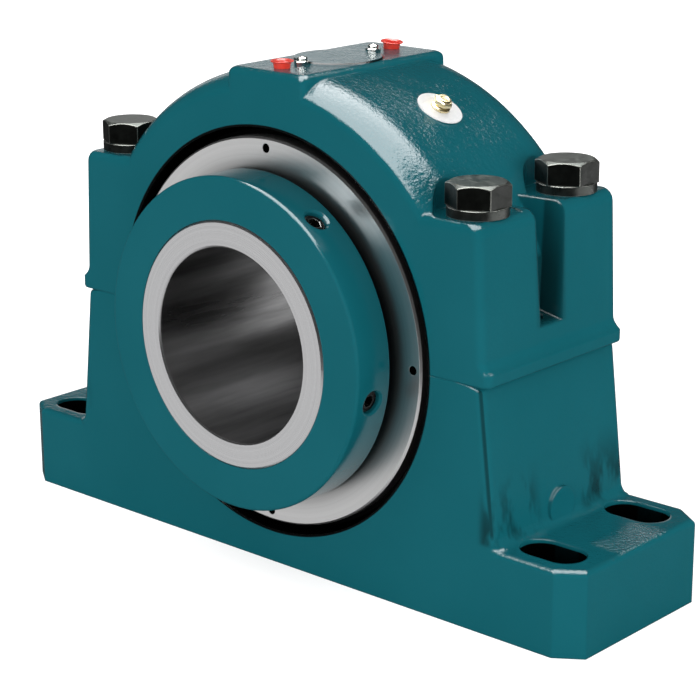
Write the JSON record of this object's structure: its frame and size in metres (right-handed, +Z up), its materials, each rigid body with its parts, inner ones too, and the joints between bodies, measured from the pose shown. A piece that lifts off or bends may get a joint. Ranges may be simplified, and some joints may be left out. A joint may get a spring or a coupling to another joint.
{
  "type": "mounted tapered roller bearing",
  "caption": "Split-housing pillow block: bolted cap and base around a self-aligning tapered roller bearing with set-screw collars and a through bore for a shaft.",
  "frame": {"origin": "middle of the sole, on the floor under the bearing", "axes": "+X along the length of the base, +Y along the shaft with the front end at -Y, +Z up"},
  "size_m": [0.54, 0.2286, 0.3655],
  "materials": {
    "housing_paint": "gloss",
    "collar_paint": "satin",
    "black_oxide": "satin",
    "ground_steel": "satin",
    "turned_steel": "satin",
    "cage_steel": "satin",
    "zinc_plate": "gloss",
    "red_plastic": "gloss",
    "brass": "gloss",
    "tag_plate": "matte",
    "seal_rubber": "matte"
  },
  "bodies": {
    "housing": {"base": "housing_paint", "cap": "housing_paint", "cap_bolts": "black_oxide", "spring_washers": "black_oxide", "dowel_pins": "ground_steel", "stop_pin": "ground_steel", "grease_fittings": "zinc_plate", "port_plugs": "red_plastic", "relief_fitting": "brass", "fitting_tag": "tag_plate"},
    "insert": {"cartridge": "ground_steel", "cup_spacer": "ground_steel", "front_cup": "ground_steel", "rear_cup": "ground_steel", "front_end_ring": "turned_steel", "rear_end_ring": "turned_steel", "front_o_ring": "seal_rubber", "rear_o_ring": "seal_rubber", "front_seal_case": "turned_steel", "rear_seal_case": "turned_steel", "front_seal_lip": "seal_rubber", "rear_seal_lip": "seal_rubber"},
    "shaft_ring": {"inner_ring": "turned_steel", "front_collar": "collar_paint", "rear_collar": "collar_paint", "front_set_screws": "black_oxide", "rear_set_screws": "black_oxide"},
    "front_roller_row": {"front_cage": "cage_steel", "front_rollers": "ground_steel"},
    "rear_roller_row": {"rear_cage": "cage_steel", "rear_rollers": "ground_steel"}
  },
  "joints": [
    {"name": "insert_tilt", "type": "hinge", "parent": "housing", "child": "insert", "pos_m": [0, 0, 0.171], "axis": [1, 0, 0], "range_deg": [-1, 1]},
    {"name": "shaft_spin", "type": "hinge", "parent": "insert", "child": "shaft_ring", "pos_m": [0, 0, 0.171], "axis": [0, 1, 0], "continuous": true},
    {"name": "front_cage_orbit", "type": "hinge", "parent": "insert", "child": "front_roller_row", "pos_m": [0, -0.026, 0.171], "axis": [0, 1, 0], "continuous": true},
    {"name": "rear_cage_orbit", "type": "hinge", "parent": "insert", "child": "rear_roller_row", "pos_m": [0, 0.026, 0.171], "axis": [0, 1, 0], "continuous": true}
  ],
  "couplings": [
    {"joint": "front_cage_orbit", "follows": "shaft_spin", "ratio": 0.4462},
    {"joint": "rear_cage_orbit", "follows": "shaft_spin", "ratio": 0.4462}
  ]
}
